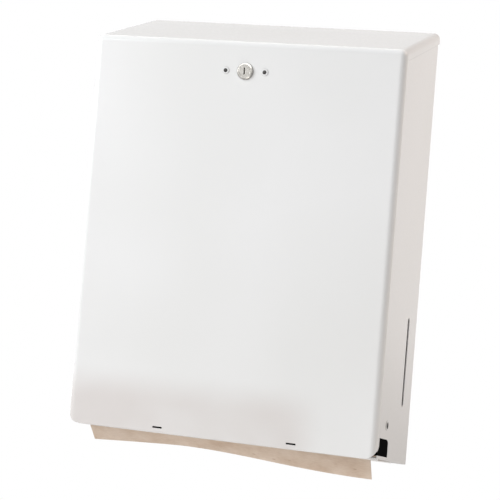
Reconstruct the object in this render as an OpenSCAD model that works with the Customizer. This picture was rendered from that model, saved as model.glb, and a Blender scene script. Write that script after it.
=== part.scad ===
// C-fold paper towel dispenser, wall-hung, enamelled sheet steel.
// Millimetres. X to the right, the front faces -Y, the wall is the plane y = 0, Z up.
// The origin is the middle of the four wall screws, on the wall.

/* [Body] */
// Width over the cover
body_w = 279.4; // [250:0.1:320]
// Height of the back
body_h = 391; // [340:1:440]
// Depth from the wall to the front of the cover
body_d = 130; // [122:1:150]
// Fall of the top towards the front, degrees
top_slope = 12; // [6:0.5:16]
// Rise of the bottom edges towards the front, degrees
bottom_slope = 10; // [7:0.5:12]
// Thickness of the sheet steel
sheet_t = 1; // [0.8:0.1:1.2]

/* [Cover] */
// Outside radius of the cover's rounded edges
edge_r = 6; // [4.5:0.5:8]
// How far the cover wraps over the sides and the top, from its outer faces
wrap = 13; // [12:0.5:18]
// Radius of the cover's two bottom corners
corner_r = 7; // [5:0.5:10]
// How far the cover's bottom edge hangs below the line of the side panels' bottom edges
cover_drop = 1; // [0.5:0.1:2]
// Gap between the cover's returns and the side panels
cover_gap = 0.4; // [0.3:0.1:1]

/* [Hinge] */
// Diameter of the hinge rod
rod_d = 3; // [2.5:0.1:3.5]
// Distance between the two knuckles
knuckle_pitch = 121; // [80:1:180]
// Sideways offset of the two knuckles
knuckle_shift = 5; // [0:0.5:8]
// Length of a knuckle along the rod
knuckle_w = 8; // [6:0.5:14]
// Height of the hinge line above the cover's bottom edge
hinge_rise = 5.7; // [5.2:0.1:7]
// Height of the hinge blocks' windows in the side panels
window_h = 15; // [12:0.5:18]
// Length of those windows, from the side panels' front edges
window_l = 45; // [40:1:52]
// Distance of the block rivets from the wall
rivet_y = 90.5; // [88:0.5:98]
// Height of the block rivets above the side panels' bottom edges
rivet_rise = 30; // [26:0.5:34]
// Outside diameter of a block rivet's tube
block_rivet_d = 6; // [4:0.2:7]

/* [Level slots] */
// Distance of the level slots from the wall
slot_y = 33.5; // [20:0.5:60]
// Height of their lower ends above the bottom
slot_z = 56; // [40:1:80]
// Length of the level slots
slot_l = 79; // [40:1:120]
// Width of the level slots
slot_w = 7; // [4:0.5:10]

/* [Lock] */
// Distance of the lock's axis below the front end of the top
lock_drop = 25; // [23:0.5:34]
// Diameter of the lock's round head
lock_head_d = 14; // [13:0.5:18]
// Diameter of the lock's barrel
barrel_d = 11; // [10:0.5:12]
// Diameter of the turning plug
plug_d = 7.6; // [7:0.1:8]
// Distance from the cover's front face to the cam
cam_depth = 20; // [18:0.5:26]
// Reach of the cam from the lock's axis
cam_reach = 17; // [15:0.5:20]
// Distance between the two lock rivets
lock_rivet_pitch = 35; // [30:0.5:44]
// Outside diameter of a lock rivet's tube
lock_rivet_d = 4; // [3:0.1:4.4]

/* [Towels] */
// Room beside the towels, between either end and the hinge block there
towel_room = 4.5; // [4:0.5:10]
// How much shorter than the dispenser's depth a folded towel is
fold_room = 26; // [24:1:38]
// Height of the towels left in the pack
pack_h = 34; // [15:1:60]
// Sideways offset of the towels within that room
towel_shift = 3; // [0:0.5:3.5]
// Thickness of one folded towel
towel_t = 1.2; // [0.8:0.1:1.6]
// Length of the flap that hangs out of the throat
flap_l = 25; // [15:1:28]

/* [Shelf] */
// Width of the lip that carries the front fold
lip_w = 10; // [8:0.5:12]
// Depth of the rear shelf
shelf_d = 57; // [46:1:62]

/* [Wall screws] */
// Sideways distance between the screw holes
screw_pitch_x = 152.4; // [100:0.1:200]
// Upright distance between the screw holes
screw_pitch_z = 203.2; // [120:0.1:260]
// Diameter of the screw holes
screw_d = 5.5; // [4:0.1:7]

/* [Hidden] */
$fn = 64;

// Clearances
run_fit = 0.05;
slip_fit = 0.1;
seat_gap = 0.3;
wall_gap = 0.5;
latch_gap = 0.8;
eps = 0.01;
cut_over = 20;
cut_edge = 1;

// Outer planes of the cover
half_w = body_w/2;
z_top = body_h/2;
z_bottom = -body_h/2;
front_y = -body_d;
fold_d = body_d - fold_room;
flat_x = half_w - edge_r;
ridge_z = top_z(front_y);
cover_z = bottom_z(front_y) - cover_drop;
inner_y = front_y + sheet_t;

// Cabinet, which slips inside the cover's returns
side_out = half_w - sheet_t - cover_gap;
side_in = side_out - sheet_t;
cover_room = 0.5;
edge_inset = edge_r - cover_room;
side_front = front_y + edge_inset;
side_flange = 7;
back_flange = 12;
flange_room = 6;
flange_drop = 18;
back_top = z_top - edge_inset/cos(top_slope);

// Lip and shelf, parallel to the side panels' bottom edges; the towels' front folds overlap the lip
shelf_clear = 0.2;
shelf_up = shelf_clear + sheet_t;
lip_set = 10;
lip_front = front_y + lip_set;
lip_back = lip_front + lip_w;
hem_r = 1.2;
shelf_front = -shelf_d;
shelf_flange = 12;
end_flange = 8;
end_flange_front = 2;
end_flange_back = 10;
fold_over = 5.5;
fold_front = lip_back - fold_over;

// Hinge line, close behind the cover's sheet
rod_r = rod_d/2;
knuckle_wall = 1.4;
knuckle_r = rod_r + knuckle_wall;
ring_inset = 0.1;
hinge_y = inner_y + ring_inset + knuckle_r;
hinge_z = cover_z + hinge_rise;
knuckle_x = [knuckle_shift - knuckle_pitch/2, knuckle_shift + knuckle_pitch/2];
pad_t = 1.4;
pad_edge = 2;
pad_rise = 8;
pad_foot = 0.8;
slot_foot = 2;
slot_top = 5.6;
nose_wall = 1.1;
nose_r = rod_r + nose_wall;
nose_under = 1.2;
nose_w = 5;
nose_root = 2;
strip_h = 3;
block_t = 5.8;
block_in = side_in - block_t;
block_clear = 1.3;
block_front = hinge_y + hinge_rise + block_clear;
nose_in = block_in - nose_w;
nose_back = fold_front + seat_gap;
rod_end = 1.5;
rod_half = block_in - rod_end;
block_flange = 3;
window_r = 4;
rivet_lip = 1;
rivet_head_t = 0.6;
rivet_wall = 0.7;
lobe_r = 7;

// Lock
lock_z = ridge_z - lock_drop;
head_t = 2.2;
plate_t = 1.2;
plate_edge = 8;
plate_w = lock_rivet_pitch + 2*plate_edge;
plate_h = 26;
washer_t = 0.8;
washer_edge = 3;
nut_t = 4;
nut_wall = 2.5;
nut_af = barrel_d + 2*nut_wall;
cam_y = front_y + cam_depth;
cam_t = 1.6;
cam_w = 9;
cam_boss = 1;
cam_end_gap = 0.3;
tail_w = 5;
plug_head_edge = 1;
plug_head_d = plug_d + 2*plug_head_edge;
plug_head_t = 1.2;
key_w = 1.3;
key_h = 6;
key_deep = 7;
screw_head_d = 7;
screw_head_t = 2.2;
screw_washer_edge = 1;
driver_w = 1;
driver_deep = 0.9;
cam_screw_d = 3;
cam_screw_l = 7;

// Top rail
rail_back = cam_y - latch_gap;
rail_front = rail_back - sheet_t;
rail_room = 3.2;
rail_low = lock_z + cam_w/2 + rail_room;
rail_top = top_z(rail_front) - edge_inset/cos(top_slope) - seat_gap;
rail_d = 17;

// Width of a towel
towel_w = 2*(block_in - towel_room);

// Droop of the hanging flap, degrees below the shelf plane: least left of the middle
flap_stations = 16;
droop_low = 23;
droop_at = -0.16*towel_w;
droop_left = 9;
droop_right = 20;
fold_round = 0.6;
fold_ease = 1;

function bottom_z(y) = z_bottom - tan(bottom_slope)*y;
function top_z(y) = z_top + tan(top_slope)*y;

// Section across the cover, [depth below its outer face, x]: a plate whose two rounded edges end in
// flat returns, along the outer face and back along the inner face
edge_steps = 8;
function edge_arc(side, r, from, to) = [
  for (i = [0:edge_steps])
    let (a = from + (to - from)*i/edge_steps)
    [edge_r - r*cos(a), side*(flat_x + r*sin(a))]
];
cover_section = concat(
  [[wrap, -half_w]],
  edge_arc(-1, edge_r, 90, 0),
  edge_arc(1, edge_r, 0, 90),
  [[wrap, half_w], [wrap, half_w - sheet_t]],
  edge_arc(1, edge_r - sheet_t, 90, 0),
  edge_arc(-1, edge_r - sheet_t, 0, 90),
  [[wrap, sheet_t - half_w]]
);

// The bend from the front to the top: what lies deeper bends tighter, and the returns meet in a mitre
ridge_steps = 8;
ridge_ends = ridge_steps + 2;
mitre_r = 0.3;
top_turn = 90 - top_slope;
function bend_r(depth) = max(edge_r - depth, mitre_r);
function bend_at(depth) =
  let (in = depth + bend_r(depth), y = front_y + in) [y, top_z(y) - in/cos(top_slope)];

// A point of the section at one of its stations: 0 at the bottom edge, round the bend, and past the wall
function cover_point(p, k) =
  let (r = bend_r(p.x), at = bend_at(p.x), a = top_turn*min(k - 1, ridge_steps)/ridge_steps)
  k == 0 ? [p.y, front_y + p.x, cover_z]
  : k < ridge_ends ? [p.y, at.x - r*cos(a), at.y + r*sin(a)]
  : [p.y, at.x - r*cos(a) + body_d, at.y + r*sin(a) + body_d*tan(top_slope)];

enamel = "whitesmoke";
zinc = "silver";
nylon = [0.08, 0.08, 0.08];
kraft = "burlywood";

// An outline in (y, z) made into a plate that starts at x0
module plate_x(x0, t) {
  translate([x0, 0, 0]) rotate([90, 0, 90]) linear_extrude(t) children();
}

// A cylinder along X
module rod_x(x0, l, r, y, z) {
  translate([x0, y, z]) rotate([0, 90, 0]) cylinder(h = l, r = r);
}

// A cylinder along Y on the lock's height
module lock_rod(y0, l, r, x = 0) {
  translate([x, y0, lock_z]) rotate([-90, 0, 0]) cylinder(h = l, r = r);
}

// A tube with a flange at both ends, along X, pulled through plates from x0 to x0 + grip
module tube_rivet(x0, grip, d, y, z) {
  difference() {
    union() {
      rod_x(x0 - rivet_head_t, grip + 2*rivet_head_t, d/2, y, z);
      rod_x(x0 - rivet_head_t, rivet_head_t, d/2 + rivet_lip, y, z);
      rod_x(x0 + grip, rivet_head_t, d/2 + rivet_lip, y, z);
    }
    rod_x(x0 - 2*rivet_head_t, grip + 4*rivet_head_t, d/2 - rivet_wall, y, z);
  }
}

// Turns its children into the shelf plane: y runs along the shelf, z = 0 is its upper face
module on_shelf() {
  translate([0, 0, z_bottom + shelf_up]) rotate([-bottom_slope, 0, 0]) children();
}

// Distance along the shelf plane of a point that is y from the wall
function along(y) = y/cos(bottom_slope);

// The back wall of the cabinet with its four screw holes
module back_panel() {
  color(enamel) difference() {
    translate([-side_in, -sheet_t, z_bottom]) cube([2*side_in, sheet_t, back_top - z_bottom]);
    for (x = [-1, 1], z = [-1, 1])
      translate([x*screw_pitch_x/2, cut_over/2, z*screw_pitch_z/2])
        rotate([90, 0, 0]) cylinder(h = cut_over, d = screw_d);
  }
}

// Window for the hinge block, open to the side panel's front edge, with a rounded upper back corner
module window_outline(grow) {
  back = side_front + window_l + grow;
  low = strip_h - grow;
  high = strip_h + window_h + grow;
  round_r = window_r + grow;
  round_z = bottom_z(back) + high;
  difference() {
    polygon([
      [side_front - grow, bottom_z(side_front) + low], [back, bottom_z(back) + low],
      [back, round_z], [side_front - grow, bottom_z(side_front) + high]
    ]);
    difference() {
      translate([back - round_r, round_z - round_r]) square(2*round_r);
      translate([back - round_r, round_z - round_r]) circle(round_r);
    }
  }
}

// One side wall, drawn on the right: flat sheet, front and rear flanges, level slot, hinge window
module side_panel() {
  rivet_z = bottom_z(-rivet_y) + rivet_rise;
  flange_low = bottom_z(side_front) + strip_h + window_h + flange_room;
  rear_low = z_bottom + shelf_flange + flange_room;
  flange_high = rail_low;
  color(enamel) difference() {
    union() {
      plate_x(side_in, sheet_t) polygon([
        [0, bottom_z(0)], [side_front, bottom_z(side_front)],
        [side_front, top_z(side_front) - edge_inset/cos(top_slope)], [0, back_top]
      ]);
      translate([side_out - side_flange, side_front, flange_low])
        cube([side_flange, sheet_t, flange_high - flange_low]);
      translate([side_in - back_flange, -2*sheet_t, rear_low])
        cube([back_flange + eps, sheet_t, back_top - flange_drop - flange_room - rear_low]);
    }
    plate_x(side_in - cut_over/2, cut_over) {
      window_outline(0);
      translate([side_front - cut_edge, bottom_z(side_front) + strip_h - cut_over])
        square([block_front - side_front + cut_edge, cut_over + eps]);
    }
    for (z = [slot_w/2, slot_l - slot_w/2])
      rod_x(side_in - cut_over/2, cut_over, slot_w/2, -slot_y, z_bottom + slot_z + z);
    translate([side_in - cut_over/2, -slot_y - slot_w/2, z_bottom + slot_z + slot_w/2])
      cube([cut_over, slot_w, slot_l - slot_w]);
    rod_x(side_in - cut_over/2, cut_over, block_rivet_d/2 + slip_fit, -rivet_y, rivet_z);
  }
}

module right_side_panel() { side_panel(); }
module left_side_panel() { mirror([1, 0, 0]) side_panel(); }

// Angle across the top front: the latch cam turns up behind its front leg
module top_rail() {
  color(enamel) {
    translate([-side_in, rail_front, rail_low]) cube([2*side_in, sheet_t, rail_top - rail_low]);
    translate([-side_in, rail_front, rail_top - sheet_t]) cube([2*side_in, rail_d, sheet_t]);
    for (x = [-side_in, side_in - sheet_t])
      translate([x, rail_front, rail_low]) cube([sheet_t, rail_d, rail_top - rail_low]);
  }
}

// Shelf behind the throat, with flanges against the back and the sides and a hemmed front edge
module rear_shelf() {
  color(enamel) {
    on_shelf() {
      translate([-side_in, along(shelf_front), -sheet_t])
        cube([2*side_in, along(-shelf_front - sheet_t), sheet_t]);
      rod_x(-side_in, 2*side_in, hem_r, along(shelf_front), -hem_r);
      for (x = [-side_in, side_in - sheet_t])
        translate([x, along(shelf_front) + end_flange_front, -eps])
          cube([sheet_t, along(-shelf_front) - end_flange_front - end_flange_back, end_flange]);
    }
    translate([back_flange + 1 - side_in, -2*sheet_t, bottom_z(-2*sheet_t) + shelf_up - sheet_t/2])
      cube([2*(side_in - back_flange - 1), sheet_t, shelf_flange]);
  }
}

// Lip behind the cover's bottom edge, welded to the side panels, with a hemmed rear edge
module front_rail() {
  color(enamel) on_shelf() {
    translate([-side_in, along(lip_front), -sheet_t]) cube([2*side_in, along(lip_w), sheet_t]);
    rod_x(-side_in, 2*side_in, hem_r, along(lip_back), -hem_r);
  }
}

// Moulded block that fills the side panel's window and holds one end of the hinge rod
module hinge_block() {
  rivet_z = bottom_z(-rivet_y) + rivet_rise;
  lobe = -rivet_y;
  color(nylon) difference() {
    union() {
      plate_x(block_in, side_out - block_in - seat_gap) intersection() {
        window_outline(-slip_fit);
        translate([block_front, z_bottom]) square([body_d, body_h]);
      }
      plate_x(side_in - slip_fit - block_flange, block_flange) hull() {
        translate([lobe, rivet_z]) circle(lobe_r, $fn = 32);
        translate([lobe - lobe_r, bottom_z(lobe - lobe_r) + strip_h + window_h/2]) square([2*lobe_r, 1]);
      }
      rod_x(nose_in, block_in - nose_in, nose_r, hinge_y, hinge_z);
      translate([nose_in, hinge_y, hinge_z - nose_under])
        cube([block_in - nose_in, nose_back - hinge_y, nose_r + nose_under]);
      translate([nose_in, block_front, hinge_z - nose_under])
        cube([block_in - nose_in + nose_root, nose_back - block_front, nose_r + nose_under]);
    }
    rod_x(nose_in - cut_edge, rod_half + seat_gap - nose_in + cut_edge, rod_r + run_fit/2, hinge_y, hinge_z);
    rod_x(side_in - cut_over, 2*cut_over, block_rivet_d/2 + slip_fit, -rivet_y, rivet_z);
  }
}

module right_hinge_block() { hinge_block(); }
module left_hinge_block() { mirror([1, 0, 0]) hinge_block(); }

module hinge_rod() {
  color(zinc) rod_x(-rod_half, 2*rod_half, rod_r, hinge_y, hinge_z);
}

// One tube rivet each side clamps the block's flange to the side panel
module block_rivets() {
  inside = side_in - slip_fit - block_flange;
  color(enamel) for (s = [0, 1]) mirror([s, 0, 0])
    tube_rivet(inside, side_out - inside, block_rivet_d, -rivet_y, bottom_z(-rivet_y) + rivet_rise);
}

// The folded towels that are left, lying on the lead towel
module towel_pack() {
  round_r = 3;
  low = 2*towel_t + 2*seat_gap;
  front = along(fold_front);
  color(kraft) on_shelf() {
    translate([towel_shift - towel_w/2, front + round_r, low]) cube([towel_w, fold_d - 2*round_r, pack_h]);
    for (y = [front, front + fold_d - round_r])
      translate([towel_shift - towel_w/2, y, low + round_r]) cube([towel_w, round_r, pack_h - 2*round_r]);
    for (y = [front + round_r, front + fold_d - round_r], z = [low + round_r, low + pack_h - round_r])
      rod_x(towel_shift - towel_w/2, towel_w, round_r, y, z);
  }
}

// Droop of the flap at a share of the towel's width from its left end
function droop(x) = droop_low + (x < droop_at
  ? droop_left*pow((x - droop_at)/(towel_w/2 + droop_at), 2)
  : droop_right*sin(90*(x - droop_at)/(towel_w/2 - droop_at)));

// Cross-section of the lead towel at x: the panel under the pack, the front fold and the hanging flap
function towel_section(x) = let(
    a = droop(x),
    y0 = along(fold_front),
    y1 = along(lip_back) + hem_r,
    low = seat_gap,
    mid = seat_gap + towel_t,
    high = seat_gap + 2*towel_t,
    tip = [y1 + flap_l*cos(a), low - flap_l*sin(a)],
    up = [towel_t*sin(a), towel_t*cos(a)]
  ) [
    [y0 + fold_d, mid], [y1 + flap_l/2, mid], [y1 + up[0] + fold_ease, mid],
    tip + up, tip,
    [y1, low], [y0 + fold_round, low], [y0, mid], [y0 + fold_round, high], [y0 + fold_d, high]
  ];

// The end of that section in triangles: three in the panel, three in the fold, two in the flap
towel_end = [[9, 0, 1], [9, 1, 2], [9, 2, 8], [8, 2, 5], [8, 5, 6], [8, 6, 7], [2, 3, 5], [3, 4, 5]];

// The lowest towel: its front flap has dropped through the throat
module lead_towel() {
  xs = [for (i = [0:flap_stations]) towel_shift - towel_w/2 + towel_w*i/flap_stations];
  n = len(towel_section(0));
  rings = [for (x = xs) for (p = towel_section(x - towel_shift)) [x, p[0], p[1]]];
  last = flap_stations*n;
  sides = [for (i = [0:flap_stations - 1], j = [0:n - 1]) let(k = (j + 1) % n)
    each [[i*n + j, (i + 1)*n + j, (i + 1)*n + k], [i*n + j, (i + 1)*n + k, i*n + k]]];
  caps = [for (t = towel_end) each [t, [last + t[2], last + t[1], last + t[0]]]];
  color(kraft) on_shelf() polyhedron(points = rings, faces = concat(sides, caps));
}

// The cover's section run down the front, round the ridge and back along the top
module cover_sheet() {
  n = len(cover_section);
  m = n/2;
  last = ridge_ends*n;
  points = [for (k = [0:ridge_ends], p = cover_section) cover_point(p, k)];
  skin = [
    for (k = [0:ridge_ends - 1], j = [0:n - 1], half = [0, 1])
      let (a = k*n + j, b = k*n + (j + 1)%n)
      half == 0 ? [a, b + n, b] : [a, a + n, b + n]
  ];
  caps = [
    for (j = [0:m - 2], half = [0, 1])
      let (i = n - 1 - j)
      each half == 0
        ? [[j, j + 1, i], [last + j, last + i, last + j + 1]]
        : [[j + 1, i - 1, i], [last + j + 1, last + i, last + i - 1]]
  ];
  polyhedron(points, concat(skin, caps), convexity = 6);
}

// One sheet: front, ridge bend and sloped top, with edges that wrap over the cabinet
module front_cover() {
  color(enamel) difference() {
    cover_sheet();
    translate([-body_w, -wall_gap, z_bottom]) cube([2*body_w, body_d, 2*body_h]);
    for (s = [0, 1]) mirror([s, 0, 0]) difference() {
      translate([half_w - corner_r, front_y - cut_edge, cover_z - cut_edge])
        cube([corner_r + cut_edge, body_d/2, corner_r + cut_edge]);
      translate([half_w - corner_r, front_y - 2*cut_edge, cover_z + corner_r])
        rotate([-90, 0, 0]) cylinder(h = body_d, r = corner_r);
    }
    for (x = knuckle_x)
      translate([x - knuckle_w/2 - slip_fit, front_y - cut_edge, cover_z + slot_foot])
        cube([knuckle_w + 2*slip_fit, sheet_t + 2*cut_edge, slot_top - slot_foot]);
    lock_rod(front_y - cut_edge, sheet_t + 2*cut_edge, barrel_d/2 + slip_fit);
    for (x = [-1, 1])
      lock_rod(front_y - cut_edge, sheet_t + 2*cut_edge, lock_rivet_d/2 + slip_fit, x*lock_rivet_pitch/2);
  }
}

// Moulded knuckle: a pad on the cover's inner face, a tongue in the cover's slot and a ring on the rod
module knuckle(x) {
  pad_w = knuckle_w + 2*pad_edge;
  color(nylon) difference() {
    union() {
      translate([x - pad_w/2, inner_y, cover_z + pad_foot])
        cube([pad_w, pad_t, hinge_rise + pad_rise - pad_foot]);
      translate([x - knuckle_w/2, front_y + seat_gap, cover_z + slot_foot + slip_fit])
        cube([knuckle_w, sheet_t, slot_top - slot_foot - 2*slip_fit]);
      rod_x(x - knuckle_w/2, knuckle_w, knuckle_r, hinge_y, hinge_z);
    }
    rod_x(x - pad_w, 2*pad_w, rod_r + run_fit, hinge_y, hinge_z);
  }
}

module left_knuckle() { knuckle(knuckle_x[0]); }
module right_knuckle() { knuckle(knuckle_x[1]); }

// Stiffener behind the lock
module lock_plate() {
  color(zinc) difference() {
    translate([-plate_w/2, inner_y, lock_z - plate_h/2]) cube([plate_w, plate_t, plate_h]);
    lock_rod(inner_y - cut_edge, plate_t + 2*cut_edge, barrel_d/2 + slip_fit);
    for (x = [-1, 1])
      lock_rod(inner_y - cut_edge, plate_t + 2*cut_edge, lock_rivet_d/2 + slip_fit, x*lock_rivet_pitch/2);
  }
}

// Two tube rivets through the cover and the lock plate
module lock_rivets() {
  grip = sheet_t + plate_t;
  color(enamel) for (x = [-1, 1])
    translate([x*lock_rivet_pitch/2, 0, lock_z]) rotate([0, 0, 90])
      tube_rivet(front_y, grip, lock_rivet_d, 0, 0);
}

// Fixed barrel of the lock: round head with a softened rim, and a bored body
module lock_barrel() {
  rim = 0.8;
  body_l = cam_depth - cam_end_gap;
  head_r = lock_head_d/2;
  color(zinc) translate([0, front_y, lock_z]) rotate([-90, 0, 0]) difference() {
    union() {
      rotate_extrude() polygon([
        [0, -head_t], [head_r - rim, -head_t], [head_r, rim - head_t], [head_r, 0], [0, 0]
      ]);
      cylinder(h = body_l, d = barrel_d);
    }
    translate([0, 0, -head_t - cut_edge])
      cylinder(h = head_t + body_l + 2*cut_edge, r = plug_d/2 + run_fit);
    translate([0, 0, -head_t - cut_edge])
      cylinder(h = plug_head_t + slip_fit + cut_edge, r = plug_head_d/2 + run_fit);
  }
}

module lock_washer() {
  y0 = inner_y + plate_t;
  color(zinc) difference() {
    lock_rod(y0, washer_t, barrel_d/2 + washer_edge);
    lock_rod(y0 - cut_edge, washer_t + 2*cut_edge, barrel_d/2 + slip_fit);
  }
}

module lock_nut() {
  y0 = inner_y + plate_t + washer_t;
  color(zinc) difference() {
    translate([0, y0, lock_z]) rotate([-90, 30, 0]) cylinder(h = nut_t, d = nut_af/cos(30), $fn = 6);
    lock_rod(y0 - cut_edge, nut_t + 2*cut_edge, barrel_d/2 + slip_fit);
  }
}

// Turning plug with its keyway, and a square tail for the cam
module lock_plug() {
  y0 = front_y - head_t;
  body_end = cam_depth + head_t;
  color(zinc) difference() {
    union() {
      lock_rod(y0, body_end, plug_d/2);
      lock_rod(y0, plug_head_t, plug_head_d/2);
      translate([-tail_w/2, cam_y - eps, lock_z - tail_w/2]) cube([tail_w, cam_t - slip_fit + eps, tail_w]);
    }
    translate([-key_w/2, y0 - cut_edge, lock_z - key_h/2]) cube([key_w, key_deep + cut_edge, key_h]);
    lock_rod(cam_y + cam_t - cam_screw_l, cam_screw_l + cut_edge, cam_screw_d/2 + run_fit);
  }
}

// Latch cam, stored lying to the right: a quarter turn brings it up behind the top rail
module latch_cam() {
  color(zinc) difference() {
    union() {
      lock_rod(cam_y, cam_t, cam_w/2 + cam_boss);
      translate([0, cam_y, lock_z - cam_w/2]) cube([cam_reach - cam_w/2, cam_t, cam_w]);
      lock_rod(cam_y, cam_t, cam_w/2, cam_reach - cam_w/2);
    }
    translate([-tail_w/2 - slip_fit, cam_y - cut_edge, lock_z - tail_w/2 - slip_fit])
      cube([tail_w + 2*slip_fit, cam_t + 2*cut_edge, tail_w + 2*slip_fit]);
  }
}

module cam_washer() {
  y0 = cam_y + cam_t;
  color(zinc) difference() {
    lock_rod(y0, washer_t, screw_head_d/2 + screw_washer_edge);
    lock_rod(y0 - cut_edge, washer_t + 2*cut_edge, cam_screw_d/2 + slip_fit);
  }
}

module cam_screw() {
  y0 = cam_y + cam_t + washer_t;
  color(zinc) difference() {
    union() {
      lock_rod(y0, screw_head_t, screw_head_d/2);
      lock_rod(y0 - cam_screw_l + washer_t + 1, cam_screw_l - washer_t, cam_screw_d/2);
    }
    translate([-screw_head_d, y0 + screw_head_t - driver_deep, lock_z - driver_w/2])
      cube([2*screw_head_d, 2*driver_deep, driver_w]);
  }
}

back_panel();
left_side_panel();
right_side_panel();
top_rail();
rear_shelf();
front_rail();
left_hinge_block();
right_hinge_block();
hinge_rod();
block_rivets();
towel_pack();
lead_towel();
front_cover();
left_knuckle();
right_knuckle();
lock_plate();
lock_rivets();
lock_barrel();
lock_washer();
lock_nut();
lock_plug();
latch_cam();
cam_washer();
cam_screw();
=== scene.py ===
import bpy
import bmesh
import math
import random
from mathutils import Matrix, Vector


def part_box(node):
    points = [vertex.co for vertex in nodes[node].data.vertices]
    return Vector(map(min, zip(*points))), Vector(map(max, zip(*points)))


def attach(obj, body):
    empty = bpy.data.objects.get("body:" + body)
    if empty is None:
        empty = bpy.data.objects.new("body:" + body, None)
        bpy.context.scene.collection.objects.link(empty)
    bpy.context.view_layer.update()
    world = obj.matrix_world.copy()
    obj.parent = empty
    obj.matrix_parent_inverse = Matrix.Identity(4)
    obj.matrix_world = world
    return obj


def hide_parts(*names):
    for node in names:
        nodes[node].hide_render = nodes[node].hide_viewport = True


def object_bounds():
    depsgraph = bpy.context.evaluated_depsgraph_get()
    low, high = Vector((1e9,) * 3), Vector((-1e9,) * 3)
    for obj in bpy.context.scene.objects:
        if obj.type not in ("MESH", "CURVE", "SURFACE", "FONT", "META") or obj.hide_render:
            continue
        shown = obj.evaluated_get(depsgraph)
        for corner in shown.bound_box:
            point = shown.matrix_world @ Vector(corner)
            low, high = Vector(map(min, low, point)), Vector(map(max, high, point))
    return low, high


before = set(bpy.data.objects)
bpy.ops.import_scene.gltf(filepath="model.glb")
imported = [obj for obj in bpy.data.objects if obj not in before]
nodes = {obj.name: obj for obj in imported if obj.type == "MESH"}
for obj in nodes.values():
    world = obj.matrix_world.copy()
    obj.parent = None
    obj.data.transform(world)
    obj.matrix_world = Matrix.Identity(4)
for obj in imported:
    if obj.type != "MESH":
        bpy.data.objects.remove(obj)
cadLow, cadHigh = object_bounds()
scene = bpy.context.scene
mm = 0.001  # settings are in mm and degrees, unless a note says otherwise
print("towel dispenser: frame loaded,", len(nodes), "nodes")


# Small helpers

def linear(hexColour):
    parts = [int(hexColour[i:i + 2], 16) / 255 for i in (1, 3, 5)]
    return [c / 12.92 if c <= 0.04045 else ((c + 0.055) / 1.055) ** 2.4 for c in parts] + [1.0]


def perMetre(millimetres):
    return 1000 / millimetres


def addNode(tree, kind, settings=None, **inputs):
    # settings are the node's own values, with "stops" for a colour ramp; inputs are sockets or values,
    # by the socket's name with _ for a space, or by its place as i0, i1
    made = tree.nodes.new(kind)
    for key, value in (settings or {}).items():
        if key != "stops":
            setattr(made, key, value)
            continue
        band = made.color_ramp.elements
        while len(band) < len(value):
            band.new(0.5)
        for element, (position, hexColour) in zip(band, value):
            element.position = position
            element.color = linear(hexColour)
    for key, value in inputs.items():
        place = int(key[1:]) if key[1:].isdigit() else key.replace("_", " ")
        socket = made.inputs[place]
        if isinstance(value, bpy.types.NodeSocket):
            tree.links.new(value, socket)
        else:
            socket.default_value = value
    return made


def newMaterial(name):
    made = bpy.data.materials.new(name)
    made.use_nodes = True
    made.node_tree.nodes.clear()
    return made, made.node_tree


def newPiece(name, points, faces):
    mesh = bpy.data.meshes.new(name)
    mesh.from_pydata(points, [], faces)
    mesh.validate()
    made = bpy.data.objects.new(name, mesh)
    scene.collection.objects.link(made)
    return made


def finished(piece):
    # applies the piece's modifiers to its mesh
    bpy.context.view_layer.update()
    seen = piece.evaluated_get(bpy.context.evaluated_depsgraph_get())
    old = piece.data
    piece.data = bpy.data.meshes.new_from_object(seen)
    piece.modifiers.clear()
    bpy.data.meshes.remove(old)


def dress(piece, material, body, slot, *stoodFor):
    piece.data.materials.clear()
    piece.data.materials.append(material)
    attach(piece, body)
    if stoodFor:
        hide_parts(*stoodFor)


def smoothShade(piece, angle):
    for polygon in piece.data.polygons:
        polygon.use_smooth = True
    piece.data.set_sharp_from_angle(angle=math.radians(angle))


# Materials

enamelLook = {
    "film": ((0.3, "#ECECEB"), (0.62, "#F1F1F1")),  # thin paint, full paint
    "roughLeast": 0.17,
    "roughMost": 0.25,
    "ior": 1.52,
    "peelMm": 2.6,
    "peelBump": 0.06,
    "peelHighMm": 0.2,
    "waveMm": 160,
    "waveBump": 0.25,
    "waveHighMm": 0.6,
    "seamMm": 6,
    "seamShade": 0.35,
    "seamDark": 0.35,  # share of open air where a seam is darkest, and where it ends
    "seamClear": 0.85,
    # painted shade: the grey of a soft shadow low on the front, with its strength and its place
    "paintedFrontShade": "#DCD6D3",
    "paintedFrontShadeLeast": 0.48,
    "paintedFrontShadeMost": 0.8,
    "paintedFrontShadeX": (0.095, 0.060),  # metres: where the painted shade low on the front starts, and where it is full
    "paintedFrontShadeY": (-0.120, -0.127),
    "paintedFrontShadeZ": (-0.118, -0.150),
    "shadeBlotchMm": 70,
    "shadeBlotchFrom": 0.3,
    "shadeBlotchFull": 0.6,
}


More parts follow.
